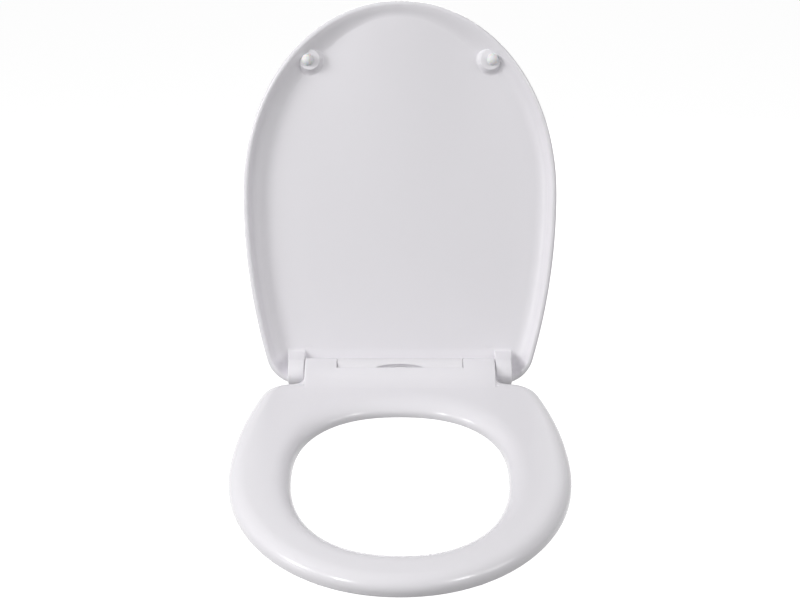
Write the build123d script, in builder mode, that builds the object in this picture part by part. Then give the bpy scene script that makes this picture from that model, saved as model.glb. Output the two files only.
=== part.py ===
# A soft-close toilet seat: ring, lid and quick-release hinge bar, with the lid standing open.
# Millimetres. The origin lies on the bowl's rim, midway between the two fixing studs.
# +Z is up, the front of the seat is towards -Y and +X is to the right.
import os
from math import cos, radians, sin

from build123d import *

os.makedirs("parts", exist_ok=True)

# Hinge line
axis_height = 26.0  # hinge line above the bowl's rim
lug_radius = 15.0  # round of the bar and of every knuckle on the hinge line
running_clearance = 0.05  # radial, between pieces that turn or plug into each other
fit_clearance = 0.2  # between pieces that are fitted together and stay put
free_gap = 0.3  # between pieces that pass each other
lid_open_angle = 110.0

# Along the hinge line, from the middle outwards
bar_half_length = 73.4
bar_gap = 0.6  # between the bar and the ring's knuckles
ring_lug_width = 37.5
lug_gap = 0.7  # between the ring's knuckles and the lid's lugs
lid_lug_width = 19.0

# Seat ring, with lengths from the hinge line towards the front
ring_half_width = 181.0
ring_front = 426.5
ring_widest = 206.0
ring_rear = 29.0
ring_rear_half_width = 151.6
ring_corner_radius = 36.0
front_fullness = 2.05  # exponent of the rounded front, 2 is an ellipse
ring_top = 4.0  # above the hinge line
ring_thickness = 17.0
ring_wall = 5.0
ring_outer_round = 13.0
ring_inner_round = 14.0
opening_half_width = 115.0
opening_front = 371.0
opening_widest = 213.0
opening_rear = 88.0
opening_fullness = 2.3
tongue_foot = 52.0  # where the rise from the ring to the knuckles starts
tongue_corner_radius = 8.0
bar_to_tongue = 2.2  # between the bar and the tongue in front of it

# Seat buffers
buffer_length = 30.0
buffer_width = 14.0
buffer_edge_round = 3.0
buffer_stem_radius = 3.0
buffer_stem_length = 7.0
buffer_pad_margin = 4.0  # of the ring's pad around each buffer
front_buffer = (76.0, 376.0)  # sideways, and from the hinge line
rear_buffer = (129.0, 122.0)

# Lid, shut, with heights above the hinge line
lid_half_width = 183.6
lid_front = 431.5
lid_rear = -16.5
lid_rear_half_width = 148.3
lid_corner_radius = 39.5
lid_rim_gap = 1.0  # between the ring's top and the shut lid's rim
lid_depth = 16.0
lid_wall = 5.0
lid_rim_width = 6.0
lid_outer_round = 18.0
lid_cove = 14.5
lid_edge_gap = 1.6  # between the knuckles and the lid's rear lip
lid_edge_reach = 4.5  # of that lip's edge, in front of the hinge line
lid_lip_reach = 23.5  # where the rear lip runs out on the panel
gusset_reach = 22.0  # where the hinge lugs run out on the panel

# Lid buffers
lid_buffer_place = (108.0, 364.5)  # sideways, and from the hinge line
lid_boss_base_radius = 16.5
lid_boss_top_radius = 12.0
lid_boss_inward = 2.5  # of each boss from its buffer, towards the middle
lid_boss_height = 8.5
lid_buffer_radius = 7.0
lid_buffer_skirt = 3.0
lid_buffer_gap = 0.3  # over the ring when the lid is shut
lid_stem_radius = 3.0
lid_stem_length = 6.0

# Hinge bar
bar_wall = 2.5
bar_end_wall = 4.0
base_thickness = 3.0
deck_angle = 30.0  # the button faces this far above level, towards the front
recess_half_length = 29.0
recess_half_height = 7.6
recess_floor = 10.0  # from the hinge line
deck_thickness = 2.4

# Release button, wedge and latches
button_half_length = 15.0
button_half_height = 4.4
button_proud = 3.8  # above the recess floor
button_round = 0.6
button_gap = 0.4  # around the button in its hole
button_flange_margin = 2.0  # of the flange around the button
button_flange_thickness = 1.3
button_travel = 3.0
button_leg_half_width = 5.0
button_leg_front = 7.0  # in front of the hinge line
button_leg_depth = 4.0
wedge_tip = 4.0  # behind the hinge line
wedge_length = 9.0
wedge_height = 3.2
wedge_gap = 0.14  # sideways, between the wedge and each latch
latch_nose_gap = 1.64  # from the middle to each latch's nose
latch_thickness = 2.5
latch_side_wall = 2.0
latch_keyhole_gap = 0.4
latch_neck_gap = 0.15
latch_tab_thickness = 2.0
latch_tab_height = 4.3
latch_tab_half_width = 3.0
spring_radius = 2.0
spring_wire_radius = 0.3
spring_turns = 5

# Dampers inside the bar
damper_radius = 11.5
damper_wall = 2.0
damper_cap_thickness = 3.0
damper_plug_length = 2.0
damper_length = 33.0  # with its cap
damper_key_length = 2.5
damper_key_width = 6.0
damper_key_height = 4.0
shaft_radius = 4.0
shaft_flat = 3.0  # from the shaft's axis to the flats of its keyed end
shaft_seat_depth = 16.0  # in the lid's lugs
hub_radius = 6.0
vane_thickness = 3.0
bush_wall = 2.0
lid_vane_angle = 30.0  # upwards from straight back, with the lid open
ring_vane_angle = 140.0  # the same, with the ring down
gate_thickness = 1.7
gate_half_width = 11.0
gate_height = 9.0

# Fixings
fixing_spacing = 155.0
pillar_offset = 25.5  # from each stud to its pillar
pillar_radius = 5.2
pillar_neck_radius = 3.6
pillar_head_height = 1.7
plate_radius = 16.0
plate_thickness = 5.0
gasket_thickness = 1.0
stud_radius = 4.0
stud_shoulder_radius = 4.6
stud_thread_radius = 3.6
stud_head_width = 12.6
stud_head_height = 3.0
stud_chamfer = 0.8
grip_length = 14.0  # thickness of bowl that the fixing holds
thread_length = 19.0
cone_height = 4.0
cone_top_radius = 6.0
cone_base_radius = 12.0
nut_hub_radius = 8.0
nut_height = 9.0
nut_span = 19.0  # from the nut's axis to a wing's tip
nut_wing_thickness = 4.0
nut_wing_round = 1.2

# Base cover screws
screw_across = 8.8
screw_radius = 1.5
screw_head_radius = 2.6
screw_head_height = 1.1
screw_length = 8.0
screw_boss_radius = 2.4
screw_boss_height = 6.0
screw_boss_gap = 1.0  # from the bar's end wall

# Places worked out from the sizes above
ring_lug_inner = bar_half_length + bar_gap
ring_lug_outer = ring_lug_inner + ring_lug_width
lid_lug_inner = ring_lug_outer + lug_gap
lid_lug_outer = lid_lug_inner + lid_lug_width
ring_bottom = ring_top - ring_thickness
ring_channel_top = ring_top - ring_wall
notch_front = lug_radius + bar_to_tongue
lid_rim = ring_top + lid_rim_gap
lid_panel = lid_rim + lid_depth
lid_top = lid_panel + lid_wall
lid_inside = lid_panel + lid_wall / 2  # middle of the panel's thickness
lid_edge = lug_radius + lid_edge_gap
lid_boss_top = lid_panel - lid_boss_height
plate_top = gasket_thickness + plate_thickness
base_bottom = plate_top + free_gap
base_top = base_bottom + base_thickness
bar_bottom = base_bottom - axis_height
bar_inner_radius = lug_radius - bar_wall
bar_inner_end = bar_half_length - bar_end_wall
deck_under = recess_floor - deck_thickness
flange_top = deck_under - free_gap
flange_bottom = flange_top - button_flange_thickness
damper_inner_end = bar_inner_end - damper_length
damper_case_end = bar_inner_end - damper_cap_thickness
damper_plug_end = damper_case_end - damper_plug_length
damper_bore_radius = damper_radius - damper_wall
gate_outer = damper_inner_end - free_gap
rotor_inner_end = damper_inner_end + damper_wall + free_gap
rotor_outer_end = damper_plug_end - free_gap
vane_reach = damper_bore_radius - free_gap
shaft_bore_radius = shaft_radius + running_clearance
shaft_end = lid_lug_inner + shaft_seat_depth
bush_radius = shaft_radius + bush_wall
journal_radius = shaft_flat
journal_bush_radius = journal_radius + bush_wall
fixing_x = fixing_spacing / 2
pillar_x = fixing_x - pillar_offset
latch_bottom = base_top + free_gap
latch_top = latch_bottom + latch_thickness
latch_travel = button_travel * cos(radians(deck_angle))
keyhole_radius = pillar_radius + latch_keyhole_gap
latch_half_width = keyhole_radius + latch_side_wall
pillar_head_bottom = latch_top + free_gap
tab_inner = pillar_x + pillar_radius + free_gap
tab_outer = tab_inner + latch_tab_thickness
wedge_bottom = latch_bottom + running_clearance
spring_height = latch_bottom + spring_radius + spring_wire_radius
spring_start = tab_outer + spring_wire_radius + running_clearance
spring_end = bar_inner_end - spring_wire_radius - running_clearance
screw_along = bar_inner_end - screw_boss_gap - screw_boss_radius
screw_places = [(x * screw_along, y * screw_across) for x in (-1, 1) for y in (-1, 1)]
sides = (("left", -1), ("right", 1))
buffer_places = (("front", front_buffer), ("rear", rear_buffer))

# Plan views look down; side views have x towards the front and y up, and face -X
ground = Plane.XY
ring_plan = Plane((0, 0, axis_height))
side_view = Plane((0, 0, axis_height), x_dir=(0, -1, 0), z_dir=(-1, 0, 0))
open_turn = radians(lid_open_angle)
lid_plan = Plane((0, 0, axis_height), x_dir=(1, 0, 0), z_dir=(0, sin(open_turn), cos(open_turn)))
lid_side = Plane((0, 0, axis_height), x_dir=-lid_plan.y_dir, z_dir=(-1, 0, 0))
deck_turn = radians(deck_angle)
deck = Plane((0, 0, axis_height), x_dir=(1, 0, 0), z_dir=(0, -cos(deck_turn), sin(deck_turn)))


# Labels a finished piece and writes it out under its own name.
def save(piece, name):
    piece.part.label = name
    export_step(piece.part, f"parts/{name}.step")


# Points round one end of an egg, from its right side over the tip to its left side:
# (x / half_width)^n + (y / length)^n = 1, with y counted forwards from start.
def egg_end(half_width, length, start, fullness, steps=9):
    points = []
    for step in range(2 * steps + 1):
        turn = radians(90 * (step - steps) / steps)
        side = -1 if turn > 0 else 1
        x = side * half_width * abs(sin(turn)) ** (2 / fullness)
        points.append((x, -start - length * abs(cos(turn)) ** (2 / fullness)))
    return points


# Outline of the ring or the lid: rounded front, bowed sides, straight rear with round corners.
def seat_face(half_width, front, rear, rear_half_width, corner_radius):
    with BuildLine() as outline:
        Spline(
            *egg_end(half_width, front - ring_widest, ring_widest, front_fullness),
            tangents=((0, -1), (0, 1)),
            tangent_scalars=(1, 1),
        )
        TangentArc((-half_width, -ring_widest), (-rear_half_width, -rear), tangent=(0, 1))
        Line((-rear_half_width, -rear), (rear_half_width, -rear))
        TangentArc((half_width, -ring_widest), (rear_half_width, -rear), tangent=(0, 1))
    make_face(outline.edges())
    fillet(vertices().group_by(Axis.Y)[-1], corner_radius)


# The ring's outline, drawn in by inset all round.
def ring_face(inset=0.0):
    seat_face(
        ring_half_width - inset,
        ring_front - inset,
        ring_rear + inset,
        ring_rear_half_width - inset,
        ring_corner_radius - inset,
    )


# The lid's outline, drawn in by inset all round.
def lid_face(inset=0.0):
    seat_face(
        lid_half_width - inset,
        lid_front - inset,
        lid_rear + inset,
        lid_rear_half_width - inset,
        lid_corner_radius - inset,
    )


# The egg-shaped opening in the ring, made larger by outset all round, cut from the sketch.
def cut_opening(outset=0.0):
    width = opening_half_width + outset
    reach = opening_front + outset - opening_widest
    back = opening_rear - outset - opening_widest
    front_end = egg_end(width, reach, opening_widest, opening_fullness)
    rear_end = egg_end(width, back, opening_widest, opening_fullness)
    with BuildLine() as outline:
        Spline(*front_end, *rear_end[-2:0:-1], periodic=True)
    make_face(outline.edges(), mode=Mode.SUBTRACT)


# Round bar with flats above and below.
def keyed_section(radius, flat):
    Circle(radius)
    Rectangle(2 * radius, 2 * flat, mode=Mode.INTERSECT)


# Damper rotor: a hub with one vane, its angle measured upwards from straight back.
def rotor_section(angle):
    Circle(hub_radius)
    with Locations((-vane_reach / 2 * cos(radians(angle)), vane_reach / 2 * sin(radians(angle)))):
        Rectangle(vane_reach, vane_thickness, rotation=-angle)


# The bar's section: half round on top with straight sides down to the given height.
def bar_section(radius, bottom):
    with BuildLine() as outline:
        crown = CenterArc((0, 0), radius, 0, 180)
        Polyline(crown @ 1, (-radius, bottom), (radius, bottom), crown @ 0)
    make_face(outline.edges())


# Hollow of the ring's underside, following its rounded edges
with BuildPart() as ring_hollow:
    with BuildSketch(ring_plan.offset(ring_bottom)):
        ring_face(ring_wall)
        cut_opening(ring_wall)
    extrude(amount=ring_channel_top - ring_bottom)
    roof = ring_hollow.faces().sort_by(Axis.Z)[-1]
    fillet(roof.outer_wire().edges(), ring_outer_round - ring_wall)
    roof = ring_hollow.faces().sort_by(Axis.Z)[-1]
    fillet(roof.inner_wires()[0].edges(), ring_inner_round - ring_wall)

# Seat ring
with BuildPart() as seat_ring:
    with BuildSketch(ring_plan.offset(ring_bottom)):
        ring_face()
        cut_opening()
    extrude(amount=ring_thickness)
    top = seat_ring.faces().sort_by(Axis.Z)[-1]
    fillet(top.outer_wire().edges(), ring_outer_round)
    top = seat_ring.faces().sort_by(Axis.Z)[-1]
    fillet(top.inner_wires()[0].edges(), ring_inner_round)
    # tongue: rises in an S from the ring's top to the round of the hinge line
    with BuildSketch(side_view):
        with BuildLine():
            rise_middle = (tongue_foot / 2, (ring_top + lug_radius) / 2)
            foot = TangentArc((tongue_foot, ring_top), rise_middle, tangent=(-1, 0))
            TangentArc((0, lug_radius), rise_middle, tangent=(1, 0))
            CenterArc((0, 0), lug_radius, 90, 180)
            Polyline((0, -lug_radius), (ring_rear, ring_bottom), (tongue_foot, ring_bottom), foot @ 0)
        make_face()
    extrude(amount=ring_lug_outer, both=True)
    # room for the bar between the knuckles
    with BuildSketch(ring_plan.offset(-lug_radius)):
        with Locations((0, -notch_front)):
            Rectangle(2 * ring_lug_inner, notch_front + 2 * lug_radius, align=(Align.CENTER, Align.MIN))
    extrude(amount=3 * lug_radius, mode=Mode.SUBTRACT)
    # concave corners between the tongue's sides and the ring's rear edge
    with BuildSketch(ring_plan.offset(ring_bottom)):
        for name, side in sides:
            beside = side * (ring_lug_outer + tongue_corner_radius)
            inside = side * (ring_lug_outer - ring_wall)
            behind = tongue_corner_radius - ring_rear
            deep = -ring_rear - ring_outer_round
            with BuildLine() as corner:
                TangentArc((beside, -ring_rear), (side * ring_lug_outer, behind), tangent=(-side, 0))
                Polyline(
                    (side * ring_lug_outer, behind),
                    (inside, behind),
                    (inside, deep),
                    (beside, deep),
                    (beside, -ring_rear),
                )
            make_face(corner.edges())
    extrude(amount=ring_thickness - ring_outer_round / 2)
    # hollow underside, carried on into the tongue
    add(ring_hollow.part, mode=Mode.SUBTRACT)
    with BuildSketch(ring_plan.offset(ring_bottom)):
        with Locations((0, -notch_front - ring_wall)):
            Rectangle(
                2 * (ring_lug_outer - ring_wall),
                tongue_foot - notch_front - ring_wall,
                align=(Align.CENTER, Align.MAX),
            )
    extrude(amount=ring_channel_top - ring_bottom, mode=Mode.SUBTRACT)
    # pads that the buffers plug into
    for end, (across, along) in buffer_places:
        for name, side in sides:
            with BuildSketch(ring_plan.offset(ring_bottom)):
                with Locations((side * across, -along)):
                    SlotOverall(
                        buffer_length + 2 * buffer_pad_margin,
                        buffer_width + 2 * buffer_pad_margin,
                        rotation=90,
                    )
            extrude(amount=ring_thickness - ring_wall / 2)
            with BuildSketch(ring_plan.offset(ring_bottom)):
                with Locations((side * across, -along)):
                    Circle(buffer_stem_radius + running_clearance)
            extrude(amount=buffer_stem_length + fit_clearance, mode=Mode.SUBTRACT)
    # bush bore on the left, keyed bore on the right
    with BuildSketch(side_view.offset(ring_lug_inner)):
        Circle(bush_radius + running_clearance)
    extrude(amount=ring_lug_width, mode=Mode.SUBTRACT)
    with BuildSketch(side_view.offset(-ring_lug_outer)):
        keyed_section(shaft_bore_radius, shaft_flat + running_clearance)
    extrude(amount=ring_lug_width, mode=Mode.SUBTRACT)
save(seat_ring, "seat_ring")

# Seat buffers, resting on the bowl
for end, (across, along) in buffer_places:
    for name, side in sides:
        with BuildPart() as seat_buffer:
            with BuildSketch(ground):
                with Locations((side * across, -along)):
                    SlotOverall(buffer_length, buffer_width, rotation=90)
            extrude(amount=axis_height + ring_bottom)
            fillet(seat_buffer.faces().sort_by(Axis.Z)[0].edges(), buffer_edge_round)
            with BuildSketch(ring_plan.offset(ring_bottom)):
                with Locations((side * across, -along)):
                    Circle(buffer_stem_radius)
            extrude(amount=buffer_stem_length)
        save(seat_buffer, f"seat_buffer_{end}_{name}")

# Hollow of the lid's inside, with its coved edge
with BuildPart() as lid_dish:
    with BuildSketch(lid_plan.offset(lid_rim)):
        lid_face(lid_rim_width)
    extrude(amount=lid_depth)
    fillet(lid_dish.faces().sort_by(Axis((0, 0, 0), lid_plan.z_dir))[-1].edges(), lid_cove)

# Lid
with BuildPart() as lid:
    with BuildSketch(lid_plan.offset(lid_rim)):
        lid_face()
    extrude(amount=lid_top - lid_rim)
    fillet(lid.faces().sort_by(Axis((0, 0, 0), lid_plan.z_dir))[-1].edges(), lid_outer_round)
    add(lid_dish.part, mode=Mode.SUBTRACT)
    # rear lip, thickened towards the knuckles, with nothing behind its edge
    with BuildSketch(lid_side):
        with BuildLine():
            curve = TangentArc((lid_lip_reach, lid_panel), (lid_edge_reach, lid_edge), tangent=(-1, 0))
            Polyline(curve @ 1, (lid_edge_reach, lid_inside), (lid_lip_reach, lid_inside), curve @ 0)
        make_face()
    extrude(amount=lid_lug_outer, both=True)
    with BuildSketch(lid_side.offset(-lid_lug_inner)):
        with Locations((lid_edge_reach, 0)):
            Rectangle(lid_edge_reach - lid_rear + lid_rim_width, 3 * lid_top, align=(Align.MAX, Align.CENTER))
    extrude(amount=2 * lid_lug_inner, mode=Mode.SUBTRACT)
    # hinge lugs, each with a gusset up to the panel
    for name, side in sides:
        with BuildSketch(lid_side.offset(-side * (lid_lug_inner + lid_lug_width / 2))):
            Circle(lug_radius)
            with BuildLine():
                Line((gusset_reach, lid_inside), (lid_rear + lid_outer_round, lid_inside))
            make_hull()
        extrude(amount=lid_lug_width / 2, both=True)
    # bosses for the buffers
    for name, side in sides:
        boss_place = (side * (lid_buffer_place[0] - lid_boss_inward), -lid_buffer_place[1])
        with BuildSketch(lid_plan.offset(lid_boss_top)):
            with Locations(boss_place):
                Circle(lid_boss_top_radius)
        with BuildSketch(lid_plan.offset(lid_panel)):
            with Locations(boss_place):
                Circle(lid_boss_base_radius)
        loft()
        with BuildSketch(lid_plan.offset(lid_boss_top)):
            with Locations((side * lid_buffer_place[0], -lid_buffer_place[1])):
                Circle(lid_stem_radius + running_clearance)
        extrude(amount=lid_stem_length + fit_clearance, mode=Mode.SUBTRACT)
    # keyed seat for the left shaft, bush bore for the right one
    with BuildSketch(lid_side.offset(lid_lug_inner)):
        keyed_section(shaft_bore_radius, shaft_flat + running_clearance)
    extrude(amount=shaft_seat_depth + fit_clearance, mode=Mode.SUBTRACT)
    with BuildSketch(lid_side.offset(-lid_lug_inner)):
        Circle(journal_bush_radius + running_clearance)
    extrude(amount=-shaft_seat_depth - fit_clearance, mode=Mode.SUBTRACT)
save(lid, "lid")

# Lid buffers: a domed plug on each boss
for name, side in sides:
    buffer_seat = Plane(
        lid_plan.from_local_coords((side * lid_buffer_place[0], -lid_buffer_place[1], lid_boss_top)),
        x_dir=lid_plan.x_dir,
        z_dir=-lid_plan.y_dir,
    )
    with BuildPart() as lid_buffer:
        with BuildSketch(buffer_seat):
            with BuildLine():
                tip = (0, ring_top + lid_buffer_gap - lid_boss_top)
                dome = TangentArc(tip, (lid_buffer_radius, -lid_buffer_skirt), tangent=(1, 0))
                Polyline(
                    dome @ 1,
                    (lid_buffer_radius, 0),
                    (lid_stem_radius, 0),
                    (lid_stem_radius, lid_stem_length),
                    (0, lid_stem_length),
                    dome @ 0,
                )
            make_face()
        revolve(axis=Axis(buffer_seat.origin, buffer_seat.y_dir))
    save(lid_buffer, f"lid_buffer_{name}")

# Hinge bar's housing
with BuildPart() as hinge_housing:
    with BuildSketch(side_view):
        bar_section(lug_radius, bar_bottom)
    extrude(amount=bar_half_length, both=True)
    # bays for the dampers at both ends, and a lower one under the button's deck
    for name, side in sides:
        with BuildSketch(side_view.offset(-side * damper_inner_end)):
            bar_section(bar_inner_radius, bar_bottom)
        extrude(amount=-side * damper_length, mode=Mode.SUBTRACT)
    with BuildSketch(side_view):
        bar_section(bar_inner_radius, bar_bottom)
        with Locations((deck_under * cos(deck_turn), deck_under * sin(deck_turn))):
            Rectangle(
                4 * lug_radius,
                4 * lug_radius,
                rotation=deck_angle,
                align=(Align.MIN, Align.CENTER),
                mode=Mode.SUBTRACT,
            )
    extrude(amount=damper_inner_end, both=True, mode=Mode.SUBTRACT)
    # oval recess and the button's hole in its floor
    with BuildSketch(deck.offset(recess_floor)):
        Ellipse(recess_half_length, recess_half_height)
    extrude(amount=lug_radius, mode=Mode.SUBTRACT)
    with BuildSketch(deck.offset(recess_floor)):
        Ellipse(button_half_length + button_gap, button_half_height + button_gap)
    extrude(amount=-deck_thickness, mode=Mode.SUBTRACT)
    # bosses for the base cover's screws, joined to the walls
    with BuildSketch(ground.offset(base_top)):
        for x, y in screw_places:
            wall_side = y / screw_across
            with Locations((x, y)):
                Circle(screw_boss_radius)
            with Locations((x, wall_side * (screw_across + bar_inner_radius + bar_wall / 2) / 2)):
                Rectangle(2 * screw_boss_radius, bar_inner_radius + bar_wall / 2 - screw_across)
    extrude(amount=screw_boss_height)
    with BuildSketch(ground.offset(base_top)):
        with Locations(*screw_places):
            Circle(screw_radius + running_clearance)
    extrude(amount=screw_boss_height, mode=Mode.SUBTRACT)
    # shaft bores in the end walls
    for name, side in sides:
        with BuildSketch(side_view.offset(-side * bar_half_length)):
            Circle(shaft_bore_radius)
        extrude(amount=side * bar_end_wall, mode=Mode.SUBTRACT)
save(hinge_housing, "hinge_housing")

# Base cover that closes the bar from below
with BuildPart() as housing_base:
    with BuildSketch(ground.offset(base_bottom)):
        Rectangle(2 * (bar_inner_end - fit_clearance), 2 * (bar_inner_radius - fit_clearance))
        with Locations((-pillar_x, 0), (pillar_x, 0)):
            Circle(pillar_radius + running_clearance, mode=Mode.SUBTRACT)
    extrude(amount=base_thickness)
    # pocket under the wedge
    with BuildSketch(ground.offset(base_top)):
        Rectangle(2 * (wedge_length + free_gap), 2 * (wedge_length - free_gap))
    extrude(amount=-button_travel * sin(deck_turn), mode=Mode.SUBTRACT)
    # gates that hold the dampers' keys, open below for the latches
    for name, side in sides:
        with BuildSketch(side_view.offset(-side * (gate_outer - gate_thickness / 2))):
            with Locations((0, base_top - axis_height)):
                Rectangle(2 * gate_half_width, gate_height, align=(Align.CENTER, Align.MIN))
                Rectangle(
                    2 * (latch_half_width + free_gap),
                    latch_top + free_gap - base_top,
                    align=(Align.CENTER, Align.MIN),
                    mode=Mode.SUBTRACT,
                )
            with Locations((0, -damper_radius)):
                Rectangle(
                    damper_key_width + 2 * fit_clearance,
                    gate_height,
                    align=(Align.CENTER, Align.MIN),
                    mode=Mode.SUBTRACT,
                )
        extrude(amount=gate_thickness / 2, both=True)
    # countersunk screw holes
    for x, y in screw_places:
        with BuildSketch(ground.offset(base_bottom)):
            with Locations((x, y)):
                Circle(screw_radius + running_clearance)
        extrude(amount=base_thickness, mode=Mode.SUBTRACT)
        with BuildSketch(ground.offset(base_bottom)):
            with Locations((x, y)):
                Circle(screw_head_radius + running_clearance)
        with BuildSketch(ground.offset(base_bottom + screw_head_height)):
            with Locations((x, y)):
                Circle(screw_radius + running_clearance)
        loft(mode=Mode.SUBTRACT)
save(housing_base, "housing_base")

# Base cover screws
for number, (x, y) in enumerate(screw_places, 1):
    with BuildPart() as cover_screw:
        with BuildSketch(Plane((x, y, base_bottom), x_dir=(1, 0, 0), z_dir=(0, -1, 0))):
            with BuildLine():
                Polyline(
                    (0, 0),
                    (screw_head_radius, 0),
                    (screw_radius, screw_head_height),
                    (screw_radius, screw_length),
                    (0, screw_length),
                    close=True,
                )
            make_face()
        revolve(axis=Axis((x, y, 0), (0, 0, 1)))
    save(cover_screw, f"cover_screw_{number}")

# Release button with its flange, leg and wedge
with BuildPart() as release_button:
    with BuildSketch(deck.offset(flange_bottom)):
        Ellipse(button_half_length, button_half_height)
    extrude(amount=recess_floor + button_proud - flange_bottom)
    fillet(release_button.faces().sort_by(Axis((0, 0, 0), deck.z_dir))[-1].edges(), button_round)
    with BuildSketch(deck.offset(flange_bottom)):
        Ellipse(button_half_length + button_flange_margin, button_half_height + button_flange_margin)
    extrude(amount=button_flange_thickness)
    with BuildSketch(side_view):
        leg_back = button_leg_front - button_leg_depth
        leg_bottom = wedge_bottom - axis_height
        slant = [
            (reach, (flange_top - reach * cos(deck_turn)) / sin(deck_turn))
            for reach in (button_leg_front, leg_back)
        ]
        with BuildLine():
            Polyline((leg_back, leg_bottom), (button_leg_front, leg_bottom), *slant, close=True)
        make_face()
    extrude(amount=button_leg_half_width, both=True)
    with BuildSketch(ground.offset(wedge_bottom)):
        with BuildLine():
            Polyline(
                (-wedge_length, wedge_tip - wedge_length),
                (wedge_length, wedge_tip - wedge_length),
                (0, wedge_tip),
                close=True,
            )
        make_face()
    extrude(amount=wedge_height)
save(release_button, "release_button")

# Latches: slide outwards to let go of the pillars
for name, side in sides:
    with BuildPart() as latch:
        with BuildSketch(ground.offset(latch_bottom)):
            ramp = wedge_tip + wedge_gap
            with BuildLine():
                Polyline(
                    (side * (ramp + latch_half_width), -latch_half_width),
                    (side * tab_outer, -latch_half_width),
                    (side * tab_outer, latch_half_width),
                    (side * latch_nose_gap, latch_half_width),
                    (side * latch_nose_gap, ramp - latch_nose_gap),
                    close=True,
                )
            make_face()
            with Locations((side * (pillar_x - latch_travel), 0)):
                Circle(keyhole_radius, mode=Mode.SUBTRACT)
            with Locations((side * pillar_x, 0)):
                Circle(pillar_neck_radius + latch_neck_gap, mode=Mode.SUBTRACT)
        extrude(amount=latch_thickness)
        with BuildSketch(ground.offset(latch_bottom)):
            with Locations((side * (tab_outer - latch_tab_thickness / 2), 0)):
                Rectangle(latch_tab_thickness, 2 * latch_tab_half_width)
        extrude(amount=latch_tab_height)
    save(latch, f"latch_{name}")

# Latch springs, each between a latch's tab and the bar's end wall
for name, side in sides:
    with BuildPart() as latch_spring:
        with BuildLine():
            coil = Helix(
                pitch=(spring_end - spring_start) / spring_turns,
                height=spring_end - spring_start,
                radius=spring_radius,
                center=(side * spring_start, 0, spring_height),
                direction=(side, 0, 0),
            )
        with BuildSketch(Plane(coil @ 0, z_dir=coil % 0)):
            Circle(spring_wire_radius)
        sweep(is_frenet=True)
    save(latch_spring, f"latch_spring_{name}")

# Dampers: case and cap in the bar, and the shafts that they slow down
for name, side in sides:
    with BuildPart() as damper_case:
        with BuildSketch(side_view.offset(-side * damper_inner_end)):
            Circle(damper_radius)
        extrude(amount=-side * (damper_case_end - damper_inner_end))
        with BuildSketch(side_view.offset(-side * (damper_inner_end + damper_wall))):
            Circle(damper_bore_radius)
            with Locations((0, -hub_radius - free_gap)):
                Rectangle(
                    vane_thickness,
                    damper_radius,
                    align=(Align.CENTER, Align.MAX),
                    mode=Mode.SUBTRACT,
                )
        extrude(amount=-side * (damper_case_end - damper_inner_end), mode=Mode.SUBTRACT)
        with BuildSketch(side_view.offset(-side * damper_plug_end)):
            Circle(damper_bore_radius)
        extrude(amount=-side * damper_plug_length, mode=Mode.SUBTRACT)
        with BuildSketch(side_view.offset(-side * damper_inner_end)):
            with Locations((0, fit_clearance - damper_radius)):
                Rectangle(damper_key_width, damper_key_height, align=(Align.CENTER, Align.MIN))
        extrude(amount=side * damper_key_length)
    save(damper_case, f"damper_case_{name}")

    with BuildPart() as damper_cap:
        with BuildSketch(side_view.offset(-side * damper_case_end)):
            Circle(damper_radius)
            Circle(shaft_bore_radius, mode=Mode.SUBTRACT)
        extrude(amount=-side * damper_cap_thickness)
        with BuildSketch(side_view.offset(-side * damper_plug_end)):
            Circle(damper_bore_radius - running_clearance)
            Circle(shaft_bore_radius, mode=Mode.SUBTRACT)
        extrude(amount=-side * damper_plug_length)
    save(damper_cap, f"damper_cap_{name}")

with BuildPart() as damper_shaft_left:
    with BuildSketch(side_view.offset(rotor_inner_end)):
        rotor_section(lid_vane_angle)
    extrude(amount=rotor_outer_end - rotor_inner_end)
    with BuildSketch(side_view.offset(rotor_outer_end)):
        Circle(shaft_radius)
    extrude(amount=lid_lug_inner - rotor_outer_end)
    with BuildSketch(lid_side.offset(lid_lug_inner)):
        keyed_section(shaft_radius, shaft_flat)
    extrude(amount=shaft_seat_depth)
save(damper_shaft_left, "damper_shaft_left")

with BuildPart() as damper_shaft_right:
    with BuildSketch(side_view.offset(-rotor_inner_end)):
        rotor_section(ring_vane_angle)
    extrude(amount=rotor_inner_end - rotor_outer_end)
    with BuildSketch(side_view.offset(-rotor_outer_end)):
        Circle(shaft_radius)
    extrude(amount=rotor_outer_end - ring_lug_inner)
    with BuildSketch(side_view.offset(-ring_lug_inner)):
        keyed_section(shaft_radius, shaft_flat)
    extrude(amount=-ring_lug_width)
    with BuildSketch(side_view.offset(-ring_lug_outer)):
        Circle(journal_radius)
    extrude(amount=ring_lug_outer - shaft_end)
save(damper_shaft_right, "damper_shaft_right")

# Bushes: the lid's shaft turns in the ring's left knuckle, the ring's shaft in the lid's right lug
with BuildPart() as ring_bush_left:
    with BuildSketch(side_view.offset(ring_lug_inner)):
        Circle(bush_radius)
        Circle(shaft_bore_radius, mode=Mode.SUBTRACT)
    extrude(amount=ring_lug_width)
save(ring_bush_left, "ring_bush_left")

with BuildPart() as lid_bush_right:
    with BuildSketch(side_view.offset(-lid_lug_inner)):
        Circle(journal_bush_radius)
        Circle(journal_radius + running_clearance, mode=Mode.SUBTRACT)
    extrude(amount=-shaft_seat_depth)
save(lid_bush_right, "lid_bush_right")

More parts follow.
